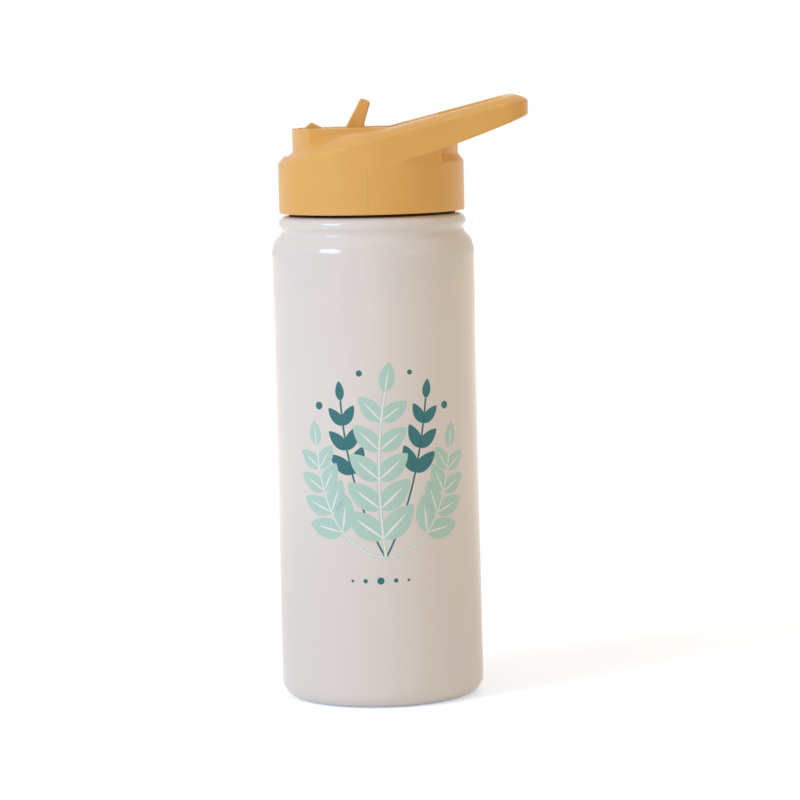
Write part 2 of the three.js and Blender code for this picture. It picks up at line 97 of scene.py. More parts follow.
def plain(piece):
    """Replaces a piece's mesh by what its modifiers make, and removes them."""
    bpy.context.view_layer.update()
    evaluated = piece.evaluated_get(bpy.context.evaluated_depsgraph_get())
    result = bpy.data.meshes.new_from_object(evaluated)
    result.name = piece.name
    piece.modifiers.clear()
    piece.data = result
    return piece


def tidy(piece, sharp_degrees, gap=0.002):
    """Closes seams and poles, points the faces outwards and smooths all but the sharp edges."""
    work = bmesh.new()
    work.from_mesh(piece.data)
    bmesh.ops.remove_doubles(work, verts=work.verts, dist=gap * MM)
    bmesh.ops.dissolve_degenerate(work, edges=work.edges, dist=gap * MM / 2)
    bmesh.ops.recalc_face_normals(work, faces=work.faces)
    work.to_mesh(piece.data)
    work.free()
    piece.data.shade_smooth()
    piece.data.set_sharp_from_angle(angle=math.radians(sharp_degrees))
    return piece


def report(piece):
    low = [min(v.co[i] for v in piece.data.vertices) / MM for i in range(3)]
    high = [max(v.co[i] for v in piece.data.vertices) / MM for i in range(3)]
    size = " x ".join(f"{b - a:.1f}" for a, b in zip(low, high))
    print(f"{piece.name}: {size} mm, {len(piece.data.polygons)} faces")


# %% [markdown]
# The photograph was taken from over a metre away with a long lens, a little above the lid, and the camera
# was tilted, so the bottle seems to lean. A camera fitted to the outline gives those figures. Its axes are
# written out from the three angles, so nothing has to be aimed by eye.

# %% Camera
# Metres, radians for the three angles, and millimetres for the lens and the sensor.
CAMERA_DISTANCE = 1.24497
CAMERA_HEIGHT = 0.23104
LOOK_DOWN = 0.0999
LOOK_ASIDE = 0.0068
TILT = -0.0235
LENS = 156.0
SENSOR_WIDTH = 36.0

look = Vector((
    math.sin(LOOK_ASIDE) * math.cos(LOOK_DOWN),
    math.cos(LOOK_ASIDE) * math.cos(LOOK_DOWN),
    -math.sin(LOOK_DOWN),
))
level_right = Vector((math.cos(LOOK_ASIDE), -math.sin(LOOK_ASIDE), 0))
level_up = level_right.cross(look)
right = level_right * math.cos(TILT) + level_up * math.sin(TILT)
up = level_up * math.cos(TILT) - level_right * math.sin(TILT)
turn = Matrix((right, up, -look)).transposed()

camera_data = bpy.data.cameras.new("camera")
camera_data.lens = LENS
camera_data.sensor_width = SENSOR_WIDTH
camera = bpy.data.objects.new("camera", camera_data)
camera.matrix_world = Matrix.Translation((0, -CAMERA_DISTANCE, CAMERA_HEIGHT)) @ turn.to_4x4()
bpy.context.scene.collection.objects.link(camera)
bpy.context.scene.camera = camera
print("camera at", [round(c, 3) for c in camera.location], "m with a", LENS, "mm lens")

# %% [markdown]
# Every finish is a tree of nodes, and so are the floor and the world. One helper sets or links the inputs of
# any node by name. A colour is written in screen levels, and another helper makes it the linear colour that
# Blender works in.

# %% Material helpers
def new_material(name):
    material = bpy.data.materials.new(name)
    material.use_nodes = True
    tree = material.node_tree
    return material, tree, tree.nodes["Principled BSDF"]


def srgb(red, green, blue):
    """A colour as it is read off a screen, from 0 to 255, as the linear colour that Blender wants."""
    def linear(level):
        share = level / 255
        return share / 12.92 if share <= 0.04045 else ((share + 0.055) / 1.055) ** 2.4
    return (linear(red), linear(green), linear(blue), 1.0)


def wire(tree, socket, value):
    """Sets an input to a number or a colour, or links it to what another node puts out."""
    if isinstance(value, bpy.types.NodeSocket):
        tree.links.new(value, socket)
    else:
        socket.default_value = value


def feed(tree, node, **values):
    """Wires a node's inputs by their names. An underscore stands for a space."""
    for label, value in values.items():
        wire(tree, node.inputs[label.replace("_", " ")], value)
    return node


def add_node(tree, kind, **values):
    """Adds a node with its inputs wired, and gives what it puts out."""
    return feed(tree, tree.nodes.new(kind), **values).outputs


def math_node(tree, operation, *values):
    node = tree.nodes.new("ShaderNodeMath")
    node.operation = operation
    for socket, value in zip(node.inputs, values):
        wire(tree, socket, value)
    return node.outputs[0]


def combine(tree, x=0.0, y=0.0, z=0.0):
    return add_node(tree, "ShaderNodeCombineXYZ", X=x, Y=y, Z=z)[0]


def blend(tree, share, low, high):
    """A colour between two, where share goes from 0 to 1."""
    node = tree.nodes.new("ShaderNodeMix")
    node.data_type = "RGBA"
    return feed(tree, node, Factor=share, A=low, B=high).outputs["Result"]


def object_coordinates(tree):
    return add_node(tree, "ShaderNodeTexCoord")["Object"]


def seen_directly(tree):
    """1 for what the camera sees, also in a mirror or through glass, and 0 for what lights the bottle."""
    rays = add_node(tree, "ShaderNodeLightPath")
    through_glass = math_node(tree, "MAXIMUM", rays["Is Camera Ray"], rays["Is Transmission Ray"])
    return math_node(tree, "MAXIMUM", through_glass, rays["Is Glossy Ray"])


print("screen level 128 as a linear colour:", round(srgb(128, 128, 128)[0], 3))

# %% [markdown]
# The photograph is a studio shot cut out on white. A plain floor takes the soft shadow. Its colour is pale,
# and a little extra brightness lifts it to white without putting more light on the bottle: Light Path tells
# the camera's rays, and those through glass or off a mirror, from the rays that carry light. The lift grows
# with the distance from the bottle, so the shadow stays and the far floor melts into the white world. The
# photograph's light has two colours, cool daylight from the left and a warm room all round, so the world is
# warm for the rays that carry light.

# %% Floor and world
FLOOR_HALF = 3000.0
FLOOR_COLOUR = srgb(250, 250, 249)
NEAR_LIFT = (0.34, 0.41, 0.49, 1)
LIFT_START = 0.12
LIFT_END = 0.7
ROOM_LIGHT = (0.49, 0.355, 0.2, 1)
WHITE = (1.0, 1.0, 1.0, 1)
BLACK = (0.0, 0.0, 0.0, 1)

floor = piece_from(
    "floor",
    [(x * FLOOR_HALF, y * FLOOR_HALF, 0) for x, y in ((-1, -1), (1, -1), (1, 1), (-1, 1))],
    [(0, 1, 2, 3)],
)
floor_material, tree, shader = new_material("floor_paper")
feed(tree, shader, Base_Color=FLOOR_COLOUR, Roughness=0.9, Specular_IOR_Level=0.1)
away = tree.nodes.new("ShaderNodeVectorMath")
away.operation = "LENGTH"
tree.links.new(object_coordinates(tree), away.inputs[0])
ramp = tree.nodes.new("ShaderNodeMapRange")
ramp.interpolation_type = "SMOOTHSTEP"
feed(tree, ramp, Value=away.outputs["Value"], From_Min=LIFT_START, From_Max=LIFT_END)
lift = blend(tree, ramp.outputs["Result"], NEAR_LIFT, WHITE)
feed(tree, shader, Emission_Color=blend(tree, seen_directly(tree), BLACK, lift), Emission_Strength=1.0)
floor.data.materials.append(floor_material)

world = bpy.data.worlds.new("studio")
world.use_nodes = True
bpy.context.scene.world = world
tree = world.node_tree
feed(tree, tree.nodes["Background"], Color=blend(tree, seen_directly(tree), ROOM_LIGHT, WHITE))
bpy.context.scene.view_settings.view_transform = "Standard"
print("floor and world ready")

# %% [markdown]
# Gloss shows where the lamps are. The three sharp glints on the neck are one window, seen in the bead, in
# the groove and in the shoulder, so the main lamp is an ellipse of a window's size, at the place where all
# three meet the photograph. A wide dim window on the right gives the soft patch beside them. The other lamps
# only fill: one above, one in front, a weak one on the right, and one behind for the views from the back.
# The last is left out of reflections, as the photograph has no bright edge on the shoulder's right.

# %% Lights
LIGHT_AIM = Vector((0, 0, 0.11))


def soft_light(name, position, size, power, colour):
    """An oval lamp aimed at the bottle's middle. Place, width and height are in metres, power in watts."""
    data = bpy.data.lights.new(name, "AREA")
    data.shape = "ELLIPSE"
    data.size, data.size_y = size
    data.energy = power
    data.color = colour
    light = bpy.data.objects.new(name, data)
    light.location = position
    light.rotation_euler = (LIGHT_AIM - Vector(position)).to_track_quat("-Z", "Y").to_euler()
    bpy.context.scene.collection.objects.link(light)
    return light


soft_light("daylight", (-1.27, -0.96, 0.97), (0.8, 0.6), 15.9, (0.48, 0.7, 1.0))
soft_light("overhead", (-0.4, -0.3, 1.6), (1.6, 1.6), 4.0, (0.91, 0.97, 1.0))
back_window = soft_light("back_window", (0.45, 1.6, 1.0), (1.4, 1.2), 8.5, (0.66, 0.8, 1.0))
back_window.visible_glossy = False
soft_light("window", (1.3, -1.1, 0.7), (1.5, 0.7), 2.6, (0.45, 0.7, 1.0))
soft_light("front", (-0.2, -2.2, 0.5), (1.4, 1.2), 2.3, (1.0, 0.9, 0.95))
soft_light("room", (1.6, 0.9, 0.4), (1.4, 1.2), 0.6, (0.9, 1.0, 0.35))
print("lights:", len(bpy.data.lights))

# %% [markdown]
# No moulded or painted surface is perfectly even. Three effects are built once, as node groups: a fine
# grain, with a slow mottle under it, for plastic, paint, rubber and ink, the fine lines that a lathe or a
# brush leaves on steel, and the hairline that a mould leaves. They read Object coordinates, which are metres
# on this bottle, so a grain size in metres is the real one.

# %% Shared effects
def new_group(name, inputs, outputs):
    group = bpy.data.node_groups.new(name, "ShaderNodeTree")
    for label, value in inputs.items():
        socket = group.interface.new_socket(label, in_out="INPUT", socket_type="NodeSocketFloat")
        socket.default_value = value
    for label in outputs:
        group.interface.new_socket(label, in_out="OUTPUT", socket_type="NodeSocketFloat")
    return group, group.nodes.new("NodeGroupInput"), group.nodes.new("NodeGroupOutput")


def noise(tree, vector, scale, detail):
    return add_node(tree, "ShaderNodeTexNoise", Vector=vector, Scale=scale, Detail=detail)["Fac"]


def split_place(tree):
    """The X, Y and Z of each point of the surface."""
    return add_node(tree, "ShaderNodeSeparateXYZ", Vector=object_coordinates(tree))


def grain_group():
    sizes = {"Grain Size": 0.0004, "Mottle Size": 0.02}
    group, ins, outs = new_group("Surface grain", sizes, ("Grain", "Mottle"))
    place = object_coordinates(group)
    for label, detail in (("Grain", 2.0), ("Mottle", 3.0)):
        scale = math_node(group, "DIVIDE", 1.0, ins.outputs[label + " Size"])
        group.links.new(noise(group, place, scale, detail), outs.inputs[label])
    return group


def turning_group():
    """Fine rings round the axis: noise that changes with height and radius but not round the turn."""
    group, ins, outs = new_group("Turning lines", {"Line Size": 0.0005}, ("Lines",))
    x, y, z = split_place(group)
    squares = [math_node(group, "MULTIPLY", side, side) for side in (x, y)]
    radius = math_node(group, "SQRT", math_node(group, "ADD", *squares))
    scale = math_node(group, "DIVIDE", 1.0, ins.outputs["Line Size"])
    group.links.new(noise(group, combine(group, radius, z), scale, 4.0), outs.inputs["Lines"])
    return group


def parting_group():
    """1 on a thin band across the X axis, up to a height, and 0 elsewhere."""
    sizes = {"Place": 0.0, "Half Width": 0.0001, "Top": 1.0}
    group, ins, outs = new_group("Parting line", sizes, ("Line",))
    x, _, z = split_place(group)
    away = math_node(group, "ABSOLUTE", math_node(group, "SUBTRACT", x, ins.outputs["Place"]))
    share = math_node(group, "DIVIDE", away, ins.outputs["Half Width"])
    line = math_node(group, "MAXIMUM", math_node(group, "SUBTRACT", 1.0, share), 0.0)
    below_top = math_node(group, "LESS_THAN", z, ins.outputs["Top"])
    group.links.new(math_node(group, "MULTIPLY", line, below_top), outs.inputs["Line"])
    return group


GRAIN = grain_group()
TURNING = turning_group()
PARTING = parting_group()


def place_group(tree, group, **values):
    node = tree.nodes.new("ShaderNodeGroup")
    node.node_tree = group
    return feed(tree, node, **values).outputs


print("shared effects:", GRAIN.name, "/", TURNING.name, "/", PARTING.name)

# %% [markdown]
# Each finish is one function of a few numbers: its colour and how far it wanders, its gloss and how far
# that wanders, and the height of its grain. The wander comes from the groups, and what is the same all over
# is set on the shader itself.

# %% Finishes
NOISE_MIDDLE = {"From_Min": 0.3, "From_Max": 0.7}


def spread(tree, source, low, high):
    """Maps a noise mask, which keeps mostly to its middle values, to a range."""
    ends = {"To_Min": low, "To_Max": high, **NOISE_MIDDLE}
    return add_node(tree, "ShaderNodeMapRange", Value=source, **ends)["Result"]


def shade_between(tree, source, dark, light):
    return blend(tree, spread(tree, source, 0.0, 1.0), dark, light)


def raise_surface(tree, shader, height, depth):
    bump = tree.nodes.new("ShaderNodeBump")
    feed(tree, bump, Strength=1.0, Distance=depth, Height=height)
    feed(tree, shader, Normal=bump.outputs["Normal"])
    return bump


def finish(name, dark, light, gloss, grain, mottle=20.0, coat=0.0, coat_gloss=0.03, metal=0.0, shine=0.5):
    """Gloss is a range of roughness. Grain is (size, depth) and mottle is a size, both in millimetres."""
    material, tree, shader = new_material(name)
    size, depth = grain
    masks = place_group(tree, GRAIN, Grain_Size=size * MM, Mottle_Size=mottle * MM)
    raise_surface(tree, shader, masks["Grain"], depth * MM)
    feed(
        tree, shader, Base_Color=shade_between(tree, masks["Mottle"], dark, light),
        Roughness=spread(tree, masks["Mottle"], *gloss), Metallic=metal,
        Coat_Weight=coat, Coat_Roughness=coat_gloss, Specular_IOR_Level=shine,
    )
    return material


cream_paint = finish(
    "cream_paint", srgb(229, 223, 219), srgb(231, 225, 221), gloss=(0.28, 0.3), grain=(1.2, 0.002),
    mottle=80.0, coat=0.7, coat_gloss=0.015, shine=0.0,
)
lid_plastic = finish(
    "mustard_plastic", srgb(229, 175, 93), srgb(233, 179, 98), gloss=(0.36, 0.42), grain=(0.35, 0.015),
    coat=0.1, coat_gloss=0.2, shine=0.3,
)
black_silicone = finish("black_silicone", srgb(34, 25, 18), srgb(44, 34, 25), (0.55, 0.7), (0.3, 0.02))
clear_silicone = finish("clear_silicone", srgb(224, 224, 220), srgb(234, 234, 230), (0.4, 0.5), (0.5, 0.01))
straw_plastic = finish("straw_plastic", srgb(228, 231, 229), srgb(236, 238, 236), (0.2, 0.28), (0.8, 0.005))
seal_glass = finish("seal_glass", srgb(58, 64, 61), srgb(72, 79, 75), (0.08, 0.14), (0.6, 0.01))
getter_metal = finish(
    "getter_metal", srgb(100, 100, 103), srgb(122, 122, 125), (0.5, 0.7), (0.3, 0.03), metal=1.0
)
print("finishes:", len(bpy.data.materials))

# %% [markdown]
# Two finishes need more than grain. Bare steel shows the fine rings that turning leaves, so its colour, its
# gloss and its bump follow one mask. The lid comes out of a mould in two halves, which leave a hairline on
# the collar. It is too low to be worth faces, so a mask on the plastic gives it a bump and a painted shade:
# a darker tone that stands in for the shade that the hairline's small step would cast.

# %% The steel's turned finish
LINE_SIZE = 0.6
LINE_DEPTH = 0.012

brushed_steel, tree, shader = new_material("brushed_steel")
lines = place_group(tree, TURNING, Line_Size=LINE_SIZE * MM)["Lines"]
steel_tone = shade_between(tree, lines, srgb(176, 177, 179), srgb(206, 207, 208))
feed(tree, shader, Base_Color=steel_tone, Roughness=spread(tree, lines, 0.24, 0.4), Metallic=1.0)
raise_surface(tree, shader, lines, LINE_DEPTH * MM)
print("turned steel:", brushed_steel.name)

# %% The lid's parting line
PARTING_PLACE = -1.4
PARTING_HALF_WIDTH = 0.3
PARTING_TOP = 190.2
PARTING_HEIGHT = 0.05
# Painted shade: a darker plastic colour along the parting line, in place of the shade of its step.
SEAM_SHADE_TONE = srgb(221, 167, 88)

tree = lid_plastic.node_tree
shader = tree.nodes["Principled BSDF"]
seam = place_group(
    tree, PARTING, Place=PARTING_PLACE * MM, Half_Width=PARTING_HALF_WIDTH * MM, Top=PARTING_TOP * MM
)["Line"]
plain_tone = shader.inputs["Base Color"].links[0].from_socket
beside_seam = math_node(tree, "SUBTRACT", 1.0, seam)
feed(tree, shader, Base_Color=blend(tree, beside_seam, SEAM_SHADE_TONE, plain_tone))
seam_bump = raise_surface(tree, shader, seam, PARTING_HEIGHT * MM)
grain_bump = next(n for n in tree.nodes if n.bl_idname == "ShaderNodeBump" and n != seam_bump)
feed(tree, seam_bump, Normal=grain_bump.outputs["Normal"])
print("parting line up to", PARTING_TOP, "mm")

# %% [markdown]
# The bottle's wall, its base disc and the gasket are all turned: one outline, carried once round the axis.
# The Screw modifier or a spin in edit mode would do it. Here a Geometry Nodes tree does, because its sizes
# stay named inputs. The outline is drawn as an edge chain, radius across and height up, and Curve to Mesh
# carries it round a very small circle, with the circle's own radius taken off first.

# %% Tree that turns an outline round the bottle's axis
def new_tree(name, inputs):
    tree = bpy.data.node_groups.new(name, "GeometryNodeTree")
    tree.interface.new_socket("Drawing", in_out="INPUT", socket_type="NodeSocketGeometry")
    for label, kind in inputs.items():
        tree.interface.new_socket(label, in_out="INPUT", socket_type="NodeSocket" + kind)
    tree.interface.new_socket("Piece", in_out="OUTPUT", socket_type="NodeSocketGeometry")
    return tree, tree.nodes.new("NodeGroupInput"), tree.nodes.new("NodeGroupOutput")


def close_tree(tree, ins, outs, geometry):
    """Every tree ends the same way: instances made real, then the material."""
    real = add_node(tree, "GeometryNodeRealizeInstances", Geometry=geometry)[0]
    done = add_node(tree, "GeometryNodeSetMaterial", Geometry=real, Material=ins.outputs["Material"])[0]
    tree.links.new(done, outs.inputs[0])


def run_tree(piece, tree, **values):
    """Runs a tree on a piece. Inputs are set by identifier, before the piece is first evaluated."""
    modifier = piece.modifiers.new(tree.name, "NODES")
    modifier.node_group = tree
    sockets = {s.name: s.identifier for s in tree.interface.items_tree if s.in_out == "INPUT"}
    for label, value in values.items():
        modifier[sockets[label.replace("_", " ")]] = value
    return plain(piece)


CORE_RADIUS = 1 * MM


def turning_tree():
    tree, ins, outs = new_tree("Turned piece", {"Segments": "Int", "Material": "Material"})
    chain = add_node(tree, "GeometryNodeMeshToCurve", Mesh=ins.outputs["Drawing"])[0]
    outline = add_node(
        tree, "GeometryNodeTransform", Geometry=chain, Translation=(-CORE_RADIUS, 0, 0), Scale=(1, -1, 1)
    )[0]
    ring = add_node(
        tree, "GeometryNodeCurvePrimitiveCircle", Resolution=ins.outputs["Segments"], Radius=CORE_RADIUS
    )[0]
    swept = add_node(tree, "GeometryNodeCurveToMesh", Curve=ring, Profile_Curve=outline)[0]
    close_tree(tree, ins, outs, swept)
    return tree


TURNED = turning_tree()


def turned(name, outline, material, segments=160, sharp=40):
    """A closed outline of (radius, height) points in millimetres, carried round the axis."""
    count = len(outline)
    chain = [(i, (i + 1) % count) for i in range(count)]
    piece = piece_from(name, [(r, z, 0) for r, z in outline], [], chain)
    run_tree(piece, TURNED, Segments=segments, Material=material)
    return tidy(piece, sharp)


print("tree:", TURNED.name)

# %% [markdown]
# The painted wall is seen most, so its outline has the true curves. The foot is one round corner. At the
# neck, three circles touch: the wide shoulder, a small hollow, and the rolled bead under the lid. Given the
# bead and the hollow's depth, the heights of the other two centres follow from right-angled triangles. The
# paint stops 0.05 mm short of the CAD's radius, which leaves room for the film of printed ink.

# %% Painted steel wall
INK_ROOM = 0.05
shell_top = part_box("outer_shell")[1]
BODY_RADIUS = shell_top.y / MM - INK_ROOM
RIM_HEIGHT = shell_top.z / MM
WALL = 0.6
FOOT_ROUND = 5.7
FOOT_OPENING = 27.0
FOOT_BREAK = 0.15
SHOULDER_ROUND = 9.5
BEAD_RADIUS = BODY_RADIUS - 2.9
BEAD_ROUND = 3.0
HOLLOW_DEPTH = 0.8
HOLLOW_ROUND = 1.9
NECK_OPENING = 28.9


def triangle_side(longest, side):
    return math.sqrt(longest**2 - side**2)


bead = (BEAD_RADIUS - BEAD_ROUND, RIM_HEIGHT - BEAD_ROUND)
hollow_r = BEAD_RADIUS - HOLLOW_DEPTH + HOLLOW_ROUND
hollow_z = bead[1] - triangle_side(BEAD_ROUND + HOLLOW_ROUND, hollow_r - bead[0])
shoulder_r = BODY_RADIUS - SHOULDER_ROUND
shoulder_z = hollow_z - triangle_side(SHOULDER_ROUND + HOLLOW_ROUND, hollow_r - shoulder_r)
shoulder_end = math.atan2(hollow_z - shoulder_z, hollow_r - shoulder_r)
bead_start = math.atan2(hollow_z - bead[1], hollow_r - bead[0])


def wall_skin(inset, steps):
    """The wall's outline from foot to rim, drawn inwards by an inset."""
    hollow_start, hollow_end = shoulder_end + math.pi, bead_start + math.pi
    return (
        arc(BODY_RADIUS - FOOT_ROUND, FOOT_ROUND, FOOT_ROUND - inset, -QUARTER, 0, steps)
        + arc(shoulder_r, shoulder_z, SHOULDER_ROUND - inset, 0, shoulder_end, steps)
        + arc(hollow_r, hollow_z, HOLLOW_ROUND + inset, hollow_start, hollow_end, steps)[1:]
        + arc(*bead, BEAD_ROUND - inset, bead_start, QUARTER, steps)[1:]
    )


foot_edge = [(FOOT_OPENING, FOOT_BREAK), (FOOT_OPENING + FOOT_BREAK, 0)]
outside = foot_edge + wall_skin(0, steps=14) + [(NECK_OPENING, RIM_HEIGHT)]
inside = [(NECK_OPENING, RIM_HEIGHT - WALL)] + wall_skin(WALL, steps=5)[::-1] + [(FOOT_OPENING, WALL)]
painted_wall = turned("painted_wall", outside + inside, cream_paint, segments=192)
report(painted_wall)

# %% [markdown]
# The print is a film of ink on the front of the bottle: a spray of leaves in mint and teal with white veins
# and dots, and a short row of dots under it. It could be an image, but this object uses none, and real ink
# has an edge of its own. Leaves along a stem are a job for Geometry Nodes: one tree puts pairs of leaves on
# a stem that is drawn flat, a second puts round dots on points, and both end by wrapping what is flat round
# the bottle. The ink is six thousandths of a millimetre thick, and its layers lie eight thousandths apart.

# %% Wrapping helper and the leaf itself
LEAF_SKEW = 0.82
LEAF_FULLNESS = 0.72
LEAF_POINT = 0.0001


def split_position(tree):
    place = add_node(tree, "GeometryNodeInputPosition")[0]
    return add_node(tree, "ShaderNodeSeparateXYZ", Vector=place)


def moved_to(tree, geometry, x, y, z):
    place = combine(tree, x, y, z)
    return add_node(tree, "GeometryNodeSetPosition", Geometry=geometry, Position=place)[0]


def wrapped(tree, geometry, radius):
    """Bends what is drawn flat, X along the wall and Y up it, round the bottle's front."""
    real = add_node(tree, "GeometryNodeRealizeInstances", Geometry=geometry)[0]
    x, y, _ = split_position(tree)
    angle = math_node(tree, "DIVIDE", x, radius)
    front = math_node(tree, "MULTIPLY", radius, -1.0)
    across = math_node(tree, "MULTIPLY", math_node(tree, "SINE", angle), radius)
    depth = math_node(tree, "MULTIPLY", math_node(tree, "COSINE", angle), front)
    return moved_to(tree, real, across, depth, y)


def leaf(tree, length_steps=22, width_steps=13):
    """A leaf one unit long and one wide: a grid whose width follows a stretched sine."""
    grid = add_node(
        tree, "GeometryNodeMeshGrid", Size_X=1.0, Size_Y=1.0, Vertices_X=length_steps, Vertices_Y=width_steps
    )[0]
    x, y, _ = split_position(tree)
    along = math_node(tree, "ADD", x, 0.5)
    half_turn = math_node(tree, "MULTIPLY", math_node(tree, "POWER", along, LEAF_SKEW), math.pi)
    swell = math_node(tree, "MAXIMUM", math_node(tree, "SINE", half_turn), LEAF_POINT)
    width = math_node(tree, "POWER", swell, LEAF_FULLNESS)
    return moved_to(tree, grid, along, math_node(tree, "MULTIPLY", y, width), 0.0)


print("a leaf is widest", round(0.5 ** (1 / LEAF_SKEW), 2), "of its length from the stem")

# %% Tree that puts leaves on a stem
STEM_POINTS = 60


def sprig_tree():
    numbers = ("Leaf Length", "Leaf Width", "Lean", "Taper", "Bare", "Stem Width", "Wall Radius")
    inputs = {"Pairs": "Int", **dict.fromkeys(numbers, "Float"), "Material": "Material"}
    tree, ins, outs = new_tree("Sprig on the wall", inputs)
    size = ins.outputs
    stem = add_node(tree, "GeometryNodeMeshToCurve", Mesh=size["Drawing"])[0]
    smooth = add_node(tree, "GeometryNodeResampleCurve", Curve=stem, Count=STEM_POINTS)[0]
    leafy = add_node(tree, "GeometryNodeTrimCurve", Curve=smooth, Start=size["Bare"], End=1.0)[0]
    points = add_node(tree, "GeometryNodeCurveToPoints", Curve=leafy, Count=size["Pairs"])
    heading = add_node(tree, "ShaderNodeSeparateXYZ", Vector=points["Tangent"])
    bearing = math_node(tree, "ARCTAN2", heading[1], heading[0])
    last = math_node(tree, "SUBTRACT", size["Pairs"], 1.0)
    index = add_node(tree, "GeometryNodeInputIndex")[0]
    share = math_node(tree, "DIVIDE", index, last)
    shrink = math_node(tree, "SUBTRACT", 1.0, math_node(tree, "MULTIPLY", size["Taper"], share))
    spans = [math_node(tree, "MULTIPLY", shrink, size[label]) for label in ("Leaf Length", "Leaf Width")]
    parts = tree.nodes.new("GeometryNodeJoinGeometry")
    common = {"Points": points["Points"], "Instance": leaf(tree), "Scale": combine(tree, *spans)}
    before_tip = math_node(tree, "LESS_THAN", index, last)
    at_tip = math_node(tree, "COMPARE", index, last, 0.5)
    for side, chosen in ((-1.0, before_tip), (1.0, before_tip), (0.0, at_tip)):
        lean = math_node(tree, "MULTIPLY", size["Lean"], side)
        turn = combine(tree, z=math_node(tree, "ADD", bearing, lean))
        leaves = add_node(tree, "GeometryNodeInstanceOnPoints", Selection=chosen, Rotation=turn, **common)[0]
        tree.links.new(leaves, parts.inputs[0])
    half = math_node(tree, "DIVIDE", size["Stem Width"], 2.0)
    start, end = (combine(tree, math_node(tree, "MULTIPLY", half, side)) for side in (-1.0, 1.0))
    line = add_node(tree, "GeometryNodeCurvePrimitiveLine", Start=start, End=end)[0]
    ribbon = add_node(tree, "GeometryNodeCurveToMesh", Curve=smooth, Profile_Curve=line)[0]
    tree.links.new(ribbon, parts.inputs[0])
    close_tree(tree, ins, outs, wrapped(tree, parts.outputs[0], size["Wall Radius"]))
    return tree


SPRIG = sprig_tree()
print("tree:", SPRIG.name)

# %% Tree that puts dots on points
DOT_CORNERS = 28


def dot_tree():
    """Round dots on the points of a drawing. A point's own height, taken off first, is its dot's radius."""
    tree, ins, outs = new_tree("Dots on the wall", {"Wall Radius": "Float", "Material": "Material"})
    x, y, z = split_position(tree)
    marked = tree.nodes.new("GeometryNodeCaptureAttribute")
    marked.capture_items.new("FLOAT", "Size")
    feed(tree, marked, Geometry=ins.outputs["Drawing"], Size=z)
    flat = moved_to(tree, marked.outputs["Geometry"], x, y, 0.0)
    disc = tree.nodes.new("GeometryNodeMeshCircle")
    disc.fill_type = "TRIANGLE_FAN"
    feed(tree, disc, Vertices=DOT_CORNERS, Radius=1.0)
    size = combine(tree, *[marked.outputs["Size"]] * 3)
    dots = add_node(
        tree, "GeometryNodeInstanceOnPoints", Points=flat, Instance=disc.outputs[0], Scale=size
    )[0]
    close_tree(tree, ins, outs, wrapped(tree, dots, ins.outputs["Wall Radius"]))
    return tree


DOTS = dot_tree()
print("tree:", DOTS.name)

# %% [markdown]
# Screen ink is a little less glossy than the paint under it. The design is drawn flat, with the middle of
# the bottle's front at X 0, and wrapped afterwards. The teal goes on first, the mint leaves lie over it, and
# the white veins lie on the leaves. All that is printed in one ink is joined, and the Solidify modifier
# gives the film its thickness.

# %% Inks
def new_ink(name, dark, light):
    return finish(name, dark, light, gloss=(0.34, 0.4), grain=(0.8, 0.002), mottle=60.0, coat=0.15)


mint_ink = new_ink("mint_ink", srgb(176, 212, 201), srgb(180, 216, 205))
teal_ink = new_ink("teal_ink", srgb(0, 104, 110), srgb(4, 110, 115))
white_ink = new_ink("white_ink", srgb(240, 239, 241), srgb(243, 242, 244))
print("finishes with the inks:", len(bpy.data.materials))

# %% Helpers that draw a sprig or dots and join one ink's film
INK_STEP = 0.008
INK_FILM = 0.006
TAPER = 0.35
STEM_STEPS = 12


def stem_between(foot, bend, tip):
    """A curve from foot to tip that is pulled towards the bend, as flat points in millimetres."""
    shares = [i / STEM_STEPS for i in range(STEM_STEPS + 1)]
    return [
        tuple((1 - t) ** 2 * a + 2 * t * (1 - t) * b + t * t * c for a, b, c in zip(foot, bend, tip))
        for t in shares
    ]


def layer_radius(layer):
    return (BODY_RADIUS + layer * INK_STEP) * MM


def sprig(name, stem, ink, layer, pairs, length, width, lean, bare, stem_width=0.7):
    """Pairs of leaves on a stem. Lean is in degrees, and bare is the stem's share without leaves."""
    points = [(x, y, 0) for x, y in stem]
    piece = piece_from(name, points, [], [(i, i + 1) for i in range(len(points) - 1)])
    return run_tree(
        piece, SPRIG, Pairs=pairs, Leaf_Length=length * MM, Leaf_Width=width * MM, Lean=math.radians(lean),
        Taper=TAPER, Bare=bare, Stem_Width=stem_width * MM, Wall_Radius=layer_radius(layer), Material=ink,
    )


def dots(name, places, ink, layer):
    """Places are (across, height, radius) in millimetres."""
    piece = piece_from(name, places, [])
    return run_tree(piece, DOTS, Wall_Radius=layer_radius(layer), Material=ink)


def ink_film(name, ink, parts):
    """Joins one ink's parts and gives the film its thickness."""
    work = bmesh.new()
    for part in parts:
        work.from_mesh(part.data)
    for face in work.faces:
        face.material_index = 0
    film = piece_from(name, [], [])
    work.to_mesh(film.data)
    work.free()
    film.data.materials.append(ink)
    for part in parts:
        discard(part)
    tidy(film, 30)
    film.modifiers.new("film", "SOLIDIFY").thickness = INK_FILM * MM
    tidy(plain(film), 30)
    report(film)
    return film


print("print layers reach", INK_STEP * 5, "mm above the paint")

# %% The print
main_stem = stem_between((2, 54), (-2, 88), (3, 113))
left_stem = stem_between((2, 54), (-20, 58), (-23, 94))
right_stem = stem_between((2, 54), (24, 57), (28, 92))
teal_left = stem_between((2, 54), (-11, 78), (-13, 110))
teal_right = stem_between((2, 54), (14, 76), (18, 110))
row = [(x, 46, r) for x, r in ((-10, 0.5), (-5.4, 0.8), (0, 1.3), (5.4, 0.8), (10, 0.5))]
berries = [(-21.5, 108, 1.4), (-6, 119.5, 1.1), (26, 107, 1.4), (12, 119.5, 0.9)]

